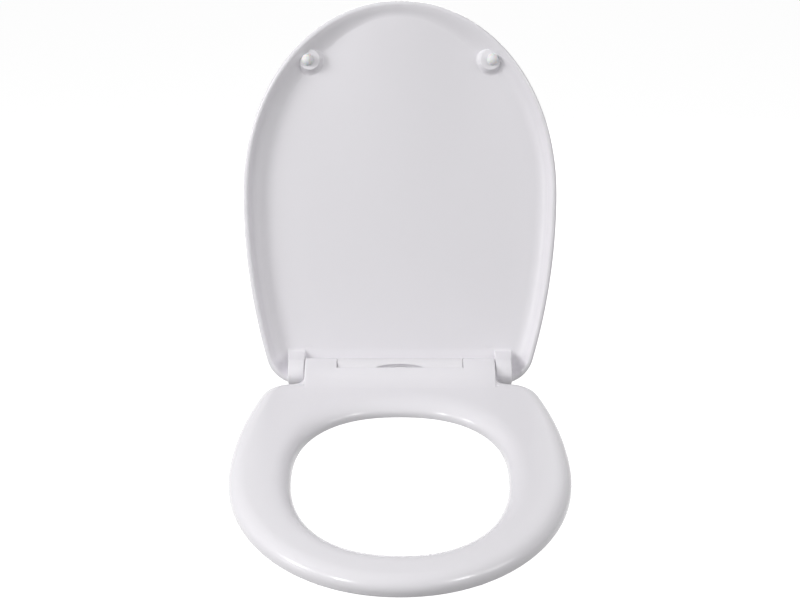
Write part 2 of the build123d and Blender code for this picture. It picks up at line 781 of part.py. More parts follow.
# Fixings: plate with its pillar, gasket, stud, cone washer and wing nut on each side
for name, side in sides:
    plate_middle = (side * (pillar_x + fixing_x) / 2, 0)
    stud_place = (side * fixing_x, 0)
    pillar_place = (side * pillar_x, 0)

    with BuildPart() as fixing_plate:
        with BuildSketch(ground.offset(gasket_thickness)):
            with Locations(plate_middle):
                SlotCenterToCenter(pillar_offset, 2 * plate_radius)
            with Locations(stud_place):
                Circle(stud_shoulder_radius + fit_clearance, mode=Mode.SUBTRACT)
        extrude(amount=plate_thickness)
        with BuildSketch(ground.offset(plate_top)):
            with Locations(stud_place):
                Rectangle(stud_head_width + 2 * fit_clearance, stud_head_width + 2 * fit_clearance)
        extrude(amount=-stud_head_height - fit_clearance, mode=Mode.SUBTRACT)
        with BuildSketch(ground.offset(plate_top)):
            with Locations(pillar_place):
                Circle(pillar_radius)
        extrude(amount=base_top - plate_top)
        with BuildSketch(ground.offset(base_top)):
            with Locations(pillar_place):
                Circle(pillar_neck_radius)
        extrude(amount=pillar_head_bottom - base_top)
        with BuildSketch(ground.offset(pillar_head_bottom)):
            with Locations(pillar_place):
                Circle(pillar_radius)
        extrude(amount=pillar_head_height)
    save(fixing_plate, f"fixing_plate_{name}")

    with BuildPart() as plate_gasket:
        with BuildSketch(ground):
            with Locations(plate_middle):
                SlotCenterToCenter(pillar_offset, 2 * plate_radius)
            with Locations(stud_place):
                Circle(stud_shoulder_radius + fit_clearance, mode=Mode.SUBTRACT)
        extrude(amount=gasket_thickness)
    save(plate_gasket, f"plate_gasket_{name}")

    with BuildPart() as fixing_stud:
        head_bottom = plate_top - stud_head_height - fit_clearance
        with BuildSketch(ground.offset(head_bottom)):
            with Locations(stud_place):
                Rectangle(stud_head_width, stud_head_width)
        extrude(amount=stud_head_height)
        with BuildSketch(ground):
            with Locations(stud_place):
                Circle(stud_shoulder_radius)
        extrude(amount=head_bottom)
        with BuildSketch(ground):
            with Locations(stud_place):
                Circle(stud_radius)
        extrude(amount=-grip_length)
        with BuildSketch(ground.offset(-grip_length)):
            with Locations(stud_place):
                Circle(stud_thread_radius)
        extrude(amount=-thread_length)
        chamfer(fixing_stud.faces().sort_by(Axis.Z)[0].edges(), stud_chamfer)
    save(fixing_stud, f"fixing_stud_{name}")

    with BuildPart() as cone_washer:
        with BuildSketch(ground.offset(-grip_length)):
            with Locations(stud_place):
                Circle(cone_top_radius)
        with BuildSketch(ground.offset(-grip_length - cone_height)):
            with Locations(stud_place):
                Circle(cone_base_radius)
        loft()
        with BuildSketch(ground.offset(-grip_length)):
            with Locations(stud_place):
                Circle(stud_thread_radius + fit_clearance)
        extrude(amount=-cone_height, mode=Mode.SUBTRACT)
    save(cone_washer, f"cone_washer_{name}")

    with BuildPart() as wing_nut:
        with BuildSketch(ground.offset(-grip_length - cone_height)):
            with Locations(stud_place):
                Circle(nut_hub_radius)
                Rectangle(2 * nut_span, nut_wing_thickness)
        extrude(amount=-nut_height)
        fillet(wing_nut.faces().sort_by(Axis.Z)[0].edges(), nut_wing_round)
        with BuildSketch(ground.offset(-grip_length - cone_height)):
            with Locations(stud_place):
                Circle(stud_thread_radius + running_clearance)
        extrude(amount=-nut_height, mode=Mode.SUBTRACT)
    save(wing_nut, f"wing_nut_{name}")
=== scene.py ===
import bpy
import numpy as np
from math import cos, pi, radians, sin
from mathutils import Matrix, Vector


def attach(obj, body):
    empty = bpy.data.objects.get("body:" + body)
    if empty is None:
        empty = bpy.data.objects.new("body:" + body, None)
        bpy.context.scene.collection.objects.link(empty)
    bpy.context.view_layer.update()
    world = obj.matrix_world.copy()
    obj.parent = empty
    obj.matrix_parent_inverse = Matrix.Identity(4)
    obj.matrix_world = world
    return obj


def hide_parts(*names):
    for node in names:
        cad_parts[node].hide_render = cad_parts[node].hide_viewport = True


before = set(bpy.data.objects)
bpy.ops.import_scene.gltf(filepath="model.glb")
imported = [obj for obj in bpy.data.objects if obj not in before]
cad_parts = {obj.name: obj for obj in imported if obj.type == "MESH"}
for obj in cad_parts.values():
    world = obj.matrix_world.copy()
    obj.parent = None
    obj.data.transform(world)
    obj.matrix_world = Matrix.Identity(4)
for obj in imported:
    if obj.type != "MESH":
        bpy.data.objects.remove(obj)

scene = bpy.context.scene
scene.view_settings.view_transform = "Standard"
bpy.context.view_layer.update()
print("frame loaded:", len(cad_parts), "nodes")

mm = 0.001
hinge = dict(height=26.0, openAngle=110.0, deckAngle=30.0, radius=15.0)  # millimetres and degrees


# Surfaces are worked out in millimetres about the hinge line and then put in the frame
def seatPlace(p):  # (across, forward, up) with the ring down
    return np.stack([p[..., 0], -p[..., 1], p[..., 2] + hinge["height"]], -1) * mm


def lidPlace(p):  # (across, forward, up) of the shut lid, turned up about the hinge line
    a = radians(hinge["openAngle"])
    y = -cos(a) * p[..., 1] + sin(a) * p[..., 2]
    z = sin(a) * p[..., 1] + cos(a) * p[..., 2]
    return np.stack([p[..., 0], y, z + hinge["height"]], -1) * mm


def deckPlace(p):  # (across, up the deck, out of the deck) on the button's slanted face
    a = radians(hinge["deckAngle"])
    forward = p[..., 2] * cos(a) - p[..., 1] * sin(a)
    up = p[..., 2] * sin(a) + p[..., 1] * cos(a)
    return seatPlace(np.stack([p[..., 0], forward, up], -1))


def bend(centre, radius, start, end, count=8):  # arc: centre + radius * (cos, sin) from start to end degrees
    a = np.radians(np.linspace(start, end, count))
    return np.stack([centre[0] + radius * np.cos(a), centre[1] + radius * np.sin(a)], -1)


def path(*bits):  # joins points and arcs into one list of points
    return np.concatenate([np.atleast_2d(np.asarray(b, float)) for b in bits])


def swoop(a, b, c, count):  # (1 - f)^2 a + 2 f (1 - f) b + f^2 c: leaves a and reaches c along the lines to b
    f = np.linspace(0, 1, count + 1)[1:]
    f = f.reshape((-1,) + (1,) * np.ndim(c))
    return (1 - f) ** 2 * a + 2 * f * (1 - f) * b + f ** 2 * c


def between(a, b, count):  # straight steps from a to b, both ends left out
    f = np.linspace(0, 1, count + 2)[1:-1]
    f = f.reshape((-1,) + (1,) * np.ndim(a))
    return (1 - f) * np.asarray(a) + f * np.asarray(b)


def roll(width, height, fullness, count):
    # quarter of (x / width)^n + (y / height)^n = 1 from the wall up to the top, as (inset, drop)
    a = np.linspace(0, pi / 2, count)
    x = width * np.cos(a).clip(0) ** (2 / fullness)
    return np.stack([width - x, height * np.sin(a) ** (2 / fullness) - height], -1)


def grid(points, closeU=True, closeV=True, capU=(), capV=()):
    # quads over a (rows, columns, 3) array, with single faces over the ends that are named as caps
    rows, columns = points.shape[:2]
    i = np.arange(rows if closeV else rows - 1)[:, None]
    j = np.arange(columns if closeU else columns - 1)[None, :]
    i2, j2 = (i + 1) % rows, (j + 1) % columns
    quads = np.stack([i * columns + j, i * columns + j2, i2 * columns + j2, i2 * columns + j], -1)
    index = np.arange(rows * columns).reshape(rows, columns)
    caps = [index[0, ::-1], index[-1]], [index[:, 0], index[::-1, -1]]
    ends = [caps[0][k] for k in capV] + [caps[1][k] for k in capU]
    return points.reshape(-1, 3), quads.reshape(-1, 4), ends


def volume(points, faces):  # six times the volume under a list of faces with equally many corners
    p = points[faces] - points.mean(0)
    fans = range(1, p.shape[1] - 1)
    return sum(np.einsum("ij,ij->", p[:, 0], np.cross(p[:, k], p[:, k + 1])) for k in fans)


def addPiece(name, shells, body, nodes, material):
    # one object from several shells, each turned outwards by the sign of its volume
    verts, faces, start = [], [], 0
    for points, quads, caps in shells:
        total = volume(points, quads) + sum(volume(points, c[None]) for c in caps)
        way = 1 if total > 0 else -1
        faces += (quads[:, ::way] + start).tolist() + [(c[::way] + start).tolist() for c in caps]
        verts.append(points)
        start += len(points)
    mesh = bpy.data.meshes.new(name)
    mesh.from_pydata(np.concatenate(verts).tolist(), [], faces)
    sides = np.zeros(len(mesh.polygons), np.int32)
    mesh.polygons.foreach_get("loop_total", sides)
    mesh.polygons.foreach_set("use_smooth", sides == 4)
    mesh.materials.append(material)
    mesh.update()
    piece = bpy.data.objects.new(name, mesh)
    scene.collection.objects.link(piece)
    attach(piece, body)
    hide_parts(*nodes)
    print("piece", name, len(mesh.vertices), "points")


def across(x, flat):  # puts flat (..., 2) points at x, which may differ from row to row
    x = np.broadcast_to(np.asarray(x, float).reshape((-1,) + (1,) * (flat.ndim - 1)), flat.shape[:-1] + (1,))
    return np.concatenate([x, flat], -1)


def prism(profile, x0, x1, rounding, steps=6):
    # a closed profile (forward, up) carried along x, its two ends rounded by drawing the profile in
    tangent = np.roll(profile, -1, 0) - np.roll(profile, 1, 0)
    tangent /= np.linalg.norm(tangent, axis=1, keepdims=True)
    inward = np.stack([-tangent[:, 1], tangent[:, 0]], -1)
    a = np.radians(np.linspace(90, 0, steps))
    draw = np.concatenate([1 - np.cos(a), 1 - np.cos(a[::-1])]) * rounding
    x = np.concatenate([x0 + rounding * (1 - np.sin(a)), x1 - rounding * (1 - np.sin(a[::-1]))])
    return across(x, profile[None] + inward[None] * draw[:, None, None])


def spun(profile, count=64):  # a (radius, height) profile turned about an upright axis
    a = np.linspace(0, 2 * pi, count, endpoint=False)
    x, y = profile[:, :1] * np.cos(a), profile[:, :1] * np.sin(a)
    return np.stack([x, y, np.broadcast_to(profile[:, 1:], x.shape)], -1)


class Value:  # a socket that takes part in Python expressions
    def __init__(self, look, socket):
        self.look, self.socket = look, socket

    def math(self, operation, a, b):
        return self.look.node("ShaderNodeMath", dict(operation=operation), {0: a, 1: b})

    def __add__(self, other):
        return self.math("ADD", self, other)

    def __radd__(self, other):
        return self.math("ADD", other, self)

    def __sub__(self, other):
        return self.math("SUBTRACT", self, other)

    def __rsub__(self, other):
        return self.math("SUBTRACT", other, self)

    def __mul__(self, other):
        return self.math("MULTIPLY", self, other)

    def __rmul__(self, other):
        return self.math("MULTIPLY", other, self)

    def __or__(self, other):  # the larger of two
        return self.math("MAXIMUM", self, other)


class Look:  # the nodes of one material, or of the world
    def __init__(self, owner, shader, **fixed):
        self.owner = owner
        owner.use_nodes = True
        self.tree = owner.node_tree
        self.shader = self.tree.nodes[shader]
        for key, value in fixed.items():
            self.shader.inputs[key.replace("_", " ")].default_value = value

    def node(self, kind, settings, inputs, output=0):
        node = self.tree.nodes.new(kind)
        for key, value in settings.items():
            setattr(node, key, value)
        for key, value in inputs.items():
            if isinstance(value, Value):
                self.tree.links.new(value.socket, node.inputs[key])
            else:
                node.inputs[key].default_value = value
        return Value(self, node.outputs[output])

    def feed(self, **links):
        for key, value in links.items():
            self.tree.links.new(value.socket, self.shader.inputs[key.replace("_", " ")])
        return self.owner

    def noise(self, scale, detail=2.0, rough=0.5):
        place = self.node("ShaderNodeTexCoord", {}, {}, "Object")
        values = dict(Vector=place, Scale=scale, Detail=detail, Roughness=rough)
        return self.node("ShaderNodeTexNoise", {}, values)

    def mix(self, factor, a, b):  # colour between a and b
        return self.node("ShaderNodeMix", dict(data_type="RGBA"), {0: factor, 6: a + (1,), 7: b + (1,)}, 2)

    def bump(self, height, strength, distance):
        return self.node("ShaderNodeBump", {}, dict(Height=height, Strength=strength, Distance=distance))

    def seen(self):  # 1 where the eye meets the surface straight, or mirrored, or through glass
        kinds = ("Is Camera Ray", "Is Glossy Ray", "Is Transmission Ray")
        ray = [self.node("ShaderNodeLightPath", {}, {}, kind) for kind in kinds]
        return ray[0] | ray[1] | ray[2]


def finish(name, **fixed):  # a new material with some inputs fixed
    return Look(bpy.data.materials.new(name), "Principled BSDF", **fixed)


def glossyMoulding(name, light, shade, rough, coat, peel):
    # pale moulding: faint cloudy tint, fine wipe marks in the gloss and a slight orange peel
    look = finish(name, Coat_Weight=coat, Coat_Roughness=0.12, IOR=1.5)
    cloud = look.noise(9.0, 3.0)
    wipe = look.noise(70.0, 4.0, 0.65)
    skin = look.noise(420.0, 2.0)
    gloss = rough + (wipe - 0.5) * (rough * 0.2) + (cloud - 0.5) * (rough * 0.2)
    tint = look.mix(cloud, shade, light)
    return look.feed(Base_Color=tint, Roughness=gloss, Normal=look.bump(skin, peel, 0.0002))


def mattMoulding(name, light, shade, rough):
    # plain moulded plastic: fine eroded grain and a little colour drift
    look = finish(name, IOR=1.48)
    drift = look.noise(25.0, 3.0)
    grain = look.noise(900.0, 2.0)
    gloss = rough + (grain - 0.5) * 0.12
    tint = look.mix(drift, shade, light)
    return look.feed(Base_Color=tint, Roughness=gloss, Normal=look.bump(grain, 0.15, 0.0001))


def platedSteel(name, light, shade, rough):
    # zinc-plated steel: blotchy plating over fine drawn lines
    look = finish(name, Metallic=1.0)
    blotch = look.noise(160.0, 4.0, 0.6)
    fine = look.noise(1400.0, 2.0)
    gloss = rough + (blotch - 0.5) * 0.2
    tint = look.mix(blotch, shade, light)
    return look.feed(Base_Color=tint, Roughness=gloss, Normal=look.bump(fine, 0.1, 0.00005))


def softRubber(name, light, shade, rough, glow):
    # soft silicone: milky, with light carried a little way in
    look = finish(name, Subsurface_Weight=glow, Subsurface_Scale=0.004, IOR=1.42)
    drift = look.noise(60.0, 3.0)
    grain = look.noise(1100.0, 2.0)
    gloss = rough + (drift - 0.5) * 0.1
    tint = look.mix(drift, shade, light)
    return look.feed(Base_Color=tint, Roughness=gloss, Normal=look.bump(grain, 0.08, 0.0001))


mouldingLook = glossyMoulding("thermosetWhite", (0.795, 0.78, 0.812), (0.787, 0.772, 0.804), 0.24, 0.15, 0.04)
barLook = glossyMoulding("barWhite", (0.785, 0.77, 0.797), (0.772, 0.757, 0.784), 0.34, 0.1, 0.06)
buttonLook = glossyMoulding("buttonWhite", (0.785, 0.77, 0.797), (0.772, 0.757, 0.784), 0.36, 0.1, 0.06)
lidBufferLook = softRubber("milkyBuffer", (0.81, 0.81, 0.82), (0.78, 0.78, 0.79), 0.32, 0.25)
seatBufferLook = softRubber("seatBufferWhite", (0.80, 0.80, 0.80), (0.75, 0.75, 0.75), 0.5, 0.2)
innerLook = mattMoulding("coverPlastic", (0.70, 0.70, 0.71), (0.64, 0.64, 0.66), 0.5)
bushLook = mattMoulding("bushPlastic", (0.63, 0.63, 0.60), (0.56, 0.56, 0.54), 0.45)
damperLook = mattMoulding("damperBlack", (0.045, 0.045, 0.05), (0.03, 0.03, 0.033), 0.42)
shaftLook = mattMoulding("shaftGrey", (0.50, 0.50, 0.49), (0.44, 0.44, 0.43), 0.38)
fixingLook = mattMoulding("fixingWhite", (0.74, 0.74, 0.74), (0.68, 0.68, 0.68), 0.5)
gasketLook = mattMoulding("gasketGrey", (0.06, 0.06, 0.064), (0.04, 0.04, 0.043), 0.75)
steelLook = platedSteel("platedSteel", (0.66, 0.66, 0.68), (0.52, 0.52, 0.54), 0.32)
springLook = platedSteel("springWire", (0.58, 0.58, 0.6), (0.44, 0.44, 0.46), 0.28)
print("finishes made")


def seatOutline(shape, count):
    # right half from the rear middle: straight rear, corner arc, bowed side arc, then
    # (x / w)^n + (y / l)^n = 1 round the front; mirrored, and resampled evenly by length
    w, front, widest, rear, n = (shape[k] for k in ("halfWidth", "front", "widest", "rear", "fullness"))
    corner, draw = shape["corner"], shape["halfWidth"] - shape["rearHalfWidth"]
    bow = ((widest - rear) ** 2 + draw ** 2) / (2 * draw)
    cx, cs = w - bow, rear + corner
    fx = cx + np.sqrt((bow - corner) ** 2 - (widest - cs) ** 2)
    turn = np.degrees(np.arctan2(cs - widest, fx - cx))
    a = np.linspace(0, pi / 2, 900)[1:]
    egg = np.stack([w * np.cos(a).clip(0) ** (2 / n), widest + (front - widest) * np.sin(a) ** (2 / n)], -1)
    right = path(
        np.stack([np.linspace(0, fx, 200)[:-1], np.full(199, rear)], -1),
        bend((fx, cs), corner, -90, turn, 120)[:-1],
        bend((cx, widest), bow, turn, 0, 400),
        egg,
    )
    loop = path(right, right[-2:0:-1] * (-1, 1), right[:1])
    run = np.concatenate([[0], np.linalg.norm(np.diff(loop, axis=0), axis=1).cumsum()])
    at = np.linspace(0, run[-1], count, endpoint=False)
    p = np.stack([np.interp(at, run, loop[:, k]) for k in (0, 1)], -1)
    t = np.roll(p, -1, 0) - np.roll(p, 1, 0)
    t /= np.linalg.norm(t, axis=1, keepdims=True)
    return p, np.stack([t[:, 1], -t[:, 0]], -1)


def eggOpening(shape, angles):
    # (x / w)^n + (y / l)^n = 1 with its own length to the front and to the rear, read off at given angles
    a = np.linspace(-pi, pi, 4001)
    power = 2 / shape["fullness"]
    x = shape["halfWidth"] * np.sign(np.cos(a)) * np.abs(np.cos(a)) ** power
    reach = np.where(a > 0, shape["front"] - shape["widest"], shape["widest"] - shape["rear"])
    s = shape["widest"] + reach * np.sign(np.sin(a)) * np.abs(np.sin(a)) ** power
    p = np.stack([x, s], -1)
    t = np.gradient(p, axis=0)
    t[0] = t[-1] = (0, -1)
    t /= np.linalg.norm(t, axis=1, keepdims=True).clip(1e-9)
    normal = np.stack([t[:, 1], -t[:, 0]], -1)
    normal[0] = normal[-1] = (-1, 0)
    seen = np.unwrap(np.arctan2(s - shape["centre"], x))

    def pick(v):
        return np.interp(angles, seen, v, period=2 * pi)

    q = np.stack([pick(x), pick(s)], -1)
    m = np.stack([pick(normal[:, 0]), pick(normal[:, 1])], -1)
    return q, m / np.linalg.norm(m, axis=1, keepdims=True)


ring = dict(
    halfWidth=181.0, front=426.5, widest=206.0, rear=29.0, rearHalfWidth=151.6, corner=36.0, fullness=2.05,
    top=4.0, bottom=-13.0, roll=13.0, innerRoll=14.0, ease=5.0, innerEase=8.0, soft=2.2, wall=5.0, edge=1.0,
    lipBevel=0.6, around=480, rearSpread=0.5, spreadTo=150.0,
)
opening = dict(halfWidth=115.0, front=371.0, widest=213.0, rear=88.0, fullness=2.3, centre=203.0)


def ringBody():
    # section: inner wall, inner roll, flat top, outer roll, outer wall, then the hollow underside;
    # towards the rear of the opening the inner roll spreads out
    out, outNormal = seatOutline(ring, ring["around"])
    inn, innNormal = eggOpening(opening, np.arctan2(out[:, 1] - opening["centre"], out[:, 0]))
    top, bottom, e, w = ring["top"], ring["bottom"], ring["edge"], ring["wall"]
    r, q = ring["roll"], ring["innerRoll"]
    outRoll = roll(r + ring["ease"], r, ring["soft"], 22) + (0, top)
    innRoll = roll(q + ring["innerEase"], q, ring["soft"], 22) + (0, top)

    def inner(profile, spread=1.0):  # (outset, height) points round the opening, the outsets spread out
        flat = inn[None] + innNormal[None] * (profile[:, :1] * spread)[..., None]
        return np.concatenate([flat, np.broadcast_to(profile[:, 1:, None], flat.shape[:2] + (1,))], -1)

    def outer(profile):  # (inset, height) points round the outline
        flat = out[None] - outNormal[None] * profile[:, :1, None]
        return np.concatenate([flat, np.broadcast_to(profile[:, 1:, None], flat.shape[:2] + (1,))], -1)

    bevel = ring["lipBevel"]
    lip = bottom + bevel
    rearward = np.clip((ring["spreadTo"] - inn[:, 1]) / (ring["spreadTo"] - opening["rear"]), 0, 1)
    foot = inner(bend((e, bottom + e), e, 270, 180, 5))
    up = np.concatenate([foot, inner(innRoll, 1 + ring["rearSpread"] * rearward)])
    down = outer(path(outRoll[::-1], bend((e, bottom + e), e, 180, 270, 5)))
    under = outer(path((w - bevel, bottom), (w, lip), bend((r, top - r), r - w, 180, 90, 9)))
    back = inner(path(bend((q, top - q), q - w, 90, 180, 9), (w, lip), (w - bevel, bottom)))
    over, roof = between(up[-1], down[0], 12), between(under[-1], back[0], 6)
    return np.concatenate([up, over, down, under, roof, back])


tongue = dict(
    foot=52.0, reach=57.0, halfWidth=111.5, notch=15.4, notchRound=0.7, barRoom=74.0, sideRound=1.8,
    lugRound=0.7, wall=5.0, sink=0.06, sinkFrom=45.0, crestTo=1.0, bellyTo=8.0, footTo=30.0, footSink=0.05,
    roofTo=31.0, tailFrom=33.0, tailTop=1.0, fade=4.0, barColumns=(0.0, 0.3, 25.0),
)
web = dict(
    corner=(14.0, 8.0), fullness=3.0, reach=18.0, draw=8.0, sink=0.06, stepOut=1.0, stepRun=3.0, lift=0.3,
    heart=(3.0, 6.0), tuck=2.0, stations=24,
)


def tongueTop(s):  # an S of two equal arcs from the ring's top up to the crest over the hinge line
    low, high, half = ring["top"], hinge["radius"], tongue["foot"] / 2
    rise = (high - low) / 2
    radius = (half ** 2 + rise ** 2) / (2 * rise)
    t = np.clip(tongue["foot"] - s, 0, half)
    u = np.clip(s, 0, half)
    upper = high - radius + np.sqrt(radius ** 2 - u ** 2)
    lower = low + radius - np.sqrt(radius ** 2 - t ** 2)
    sink = tongue["sink"] * np.clip((s - tongue["sinkFrom"]) / (tongue["foot"] - tongue["sinkFrom"]), 0, 1)
    return np.where(s > half, lower, upper) - sink


def tongueBody():
    # columns of matching profiles across the width: knuckle at the sides, notch for the bar between
    t, r, n, q = tongue, hinge["radius"], tongue["notch"], tongue["notchRound"]

    def under(s):  # straight slope from below the hinge line to the ring's lower edge
        return -r + (r + ring["bottom"]) * s / ring["rear"]

    s = np.linspace(t["reach"], n + q + 0.5, 34)
    lead = np.stack([s, tongueTop(s)], -1)
    s = np.linspace(n, t["crestTo"], 14)
    crest = np.stack([s, tongueTop(s)], -1)
    belly = t["bellyTo"]
    over = path(crest, bend((0, 0), r, 90, 270, 34), (belly, under(belly)), (n, under(n)))
    edge = tongueTop(np.array(n + q)) - q
    drop = path(
        bend((n + q, edge), q, 78, 180, 10), between((n, edge), (n, under(n)), len(over) - 11), (n, under(n)),
    )
    inset, roof = n + t["wall"], ring["top"] - ring["wall"]
    tail = path((t["roofTo"], roof), (t["tailFrom"], t["tailTop"]), (t["reach"], t["tailTop"]))
    pocket = path((inset, under(inset)), (inset, roof), tail)
    solid = path((inset, under(inset)), (t["footTo"], ring["bottom"] + t["footSink"]), tail)
    knuckle, bridge = path(lead, over), path(lead, drop)

    def drawn(profile, amount, weight):  # each point moved inwards, square to the profile
        tangent = np.roll(profile, -1, 0) - np.roll(profile, 1, 0)
        tangent /= np.linalg.norm(tangent, axis=1, keepdims=True).clip(1e-9)
        return profile + np.stack([-tangent[:, 1], tangent[:, 0]], -1) * amount * weight[:, None]

    a = np.radians(np.linspace(90, 0, 6))
    whole = np.ones(len(knuckle) + len(solid))
    whole[-3:] = 0
    behind = np.clip((n + t["fade"] - path(knuckle, pocket)[:, 0]) / t["fade"], 0, 1)
    sideX = t["halfWidth"] - t["sideRound"] * (1 - np.sin(a))
    lugX = t["barRoom"] + t["lugRound"] * (1 - np.sin(a))
    inside = t["halfWidth"] - t["wall"]
    full, hollow, fall = path(knuckle, solid), path(knuckle, pocket), 1 - np.cos(a)
    half = [(x, drawn(full, t["sideRound"] * k, whole)) for x, k in zip(sideX, fall)]
    half += [(inside, full), (inside, hollow)]
    half += [(x, drawn(hollow, t["lugRound"] * k, behind)) for x, k in zip(lugX[::-1], fall[::-1])]
    half += [(t["barRoom"] - x, path(bridge, pocket)) for x in t["barColumns"]]
    columns = half + [(-x, p) for x, p in half[::-1]]
    return across([c[0] for c in columns], np.stack([c[1] for c in columns]))


def tongueWeb(side):
    # concave corner beside the tongue: from a quarter ellipse in plan the section rises as a quarter of
    # (x / w)^n + (z / h)^n = 1 to a land line that bends from the ring's top on to the tongue's top
    t, r = tongue, ring["roll"]
    a, b = web["corner"]
    turn = np.radians(np.linspace(0, 90, web["stations"]))
    n = ring["soft"] + (web["fullness"] - ring["soft"]) * np.sin(turn)
    centre = np.array([t["halfWidth"] + a, ring["rear"] - b])
    wall = centre + np.stack([-a * np.sin(turn), b * np.cos(turn)], -1)
    start = np.array([centre[0], ring["rear"] + r + ring["ease"]])
    knee = np.array([t["halfWidth"] - web["draw"], ring["rear"] + web["reach"]])
    end = np.array([t["halfWidth"] - t["sideRound"], centre[1]])
    land = np.concatenate([start[None], swoop(start, knee, end, web["stations"] - 1)])
    near = np.clip((t["halfWidth"] + web["stepOut"] - land[:, 0]) / web["stepRun"], 0, 1)
    height = ring["top"] + (tongueTop(land[:, 1]) - ring["top"]) * near - web["sink"]
    land = np.concatenate([land, height[:, None]], -1)
    low = ring["top"] - r
    up = np.linspace(0, pi / 2, 18)[:, None]
    share, rise = 1 - np.cos(up).clip(0) ** (2 / n), np.sin(up) ** (2 / n)
    flat = wall[None] + (land[None, :, :2] - wall[None]) * share[..., None]
    skin = np.concatenate([flat, (low + (land[:, 2] - low) * rise)[..., None]], -1)
    base, (aside, deep) = ring["bottom"] + web["lift"], web["heart"]
    foot = np.concatenate([wall, np.full((web["stations"], 1), base)], -1)
    heart = np.broadcast_to((t["halfWidth"] - aside, ring["rear"] + deep, base), foot.shape)
    sunk = land - (0, 0, web["tuck"])
    return np.concatenate([heart[None], foot[None], skin, sunk[None]]) * (side, 1, 1)


pads = dict(places=((76.0, 376.0), (129.0, 122.0)), halfRun=8.0, radius=11.0, top=1.0, bevel=0.5, taper=0.96)


def bufferPad(place, side):  # round-ended pad in the ring's hollow, over one buffer
    a = np.radians(np.linspace(0, 360, 40, endpoint=False))
    shrink = np.array([1, 1, pads["taper"]])[:, None]
    x = side * place[0] + pads["radius"] * np.cos(a) * shrink
    s = place[1] + (pads["radius"] * np.sin(a) + pads["halfRun"] * np.sign(np.sin(a))) * shrink
    z = np.array([pads["top"], ring["bottom"] + pads["bevel"], ring["bottom"]])[:, None]
    return np.stack([x, s, np.broadcast_to(z, x.shape)], -1)


seatShells = [grid(seatPlace(ringBody())), grid(seatPlace(tongueBody()), True, False, capV=(0, 1))]
seatShells += [grid(seatPlace(tongueWeb(side)), False, True, capU=(0, 1)) for side in (-1, 1)]
padRows = [bufferPad(place, side) for place in pads["places"] for side in (-1, 1)]
seatShells += [grid(seatPlace(rows), True, False, capV=(0, 1)) for rows in padRows]
addPiece("seatRing", seatShells, "seat", ["seat_ring"], mouldingLook)

lid = dict(
    halfWidth=183.6, front=431.5, widest=206.0, rear=-16.5, rearHalfWidth=148.3, corner=39.5, fullness=2.05,
    rim=5.0, panel=21.0, top=25.99, back=18.0, rimEdge=2.8, rimFlat=0.7, rimRound=3.2, coveBow=30.0,
    coveStart=54.0, coveSteep=66.0, coveEnd=25.0, easeFrom=250.0, ease=32.0, easeSpread=4.0, tipFrom=350.0,
    tipDraw=10.0, tipLift=10.0, lipReach=23.5, lipBlend=1.8, lipEdge=4.5, lipDepth=19.0, lipRound=1.2,
    lipTurn=262.0, lipClear=0.5, bury=3.0, easePower=1.5, tipPower=3, fadePower=4, endX=113.0, endLow=19.0,
    endBack=-8.0, endThick=0.4, around=620, wall=2.5,
)
lugs = dict(
    inner=112.2, outer=131.2, reach=22.0, rounding=1.4, fillet=3.0, flare=2.2, swell=3.5, swellAt=-120.0,
    sink=0.1, arcPoints=44,
)
bosses = dict(
    across=105.5, forward=364.5, base=16.5, top=12.0, height=8.5, fillet=4.0, rounding=1.2,
    sink=0.2, lean=0.3, rimIn=1.0, pole=2.0,
)


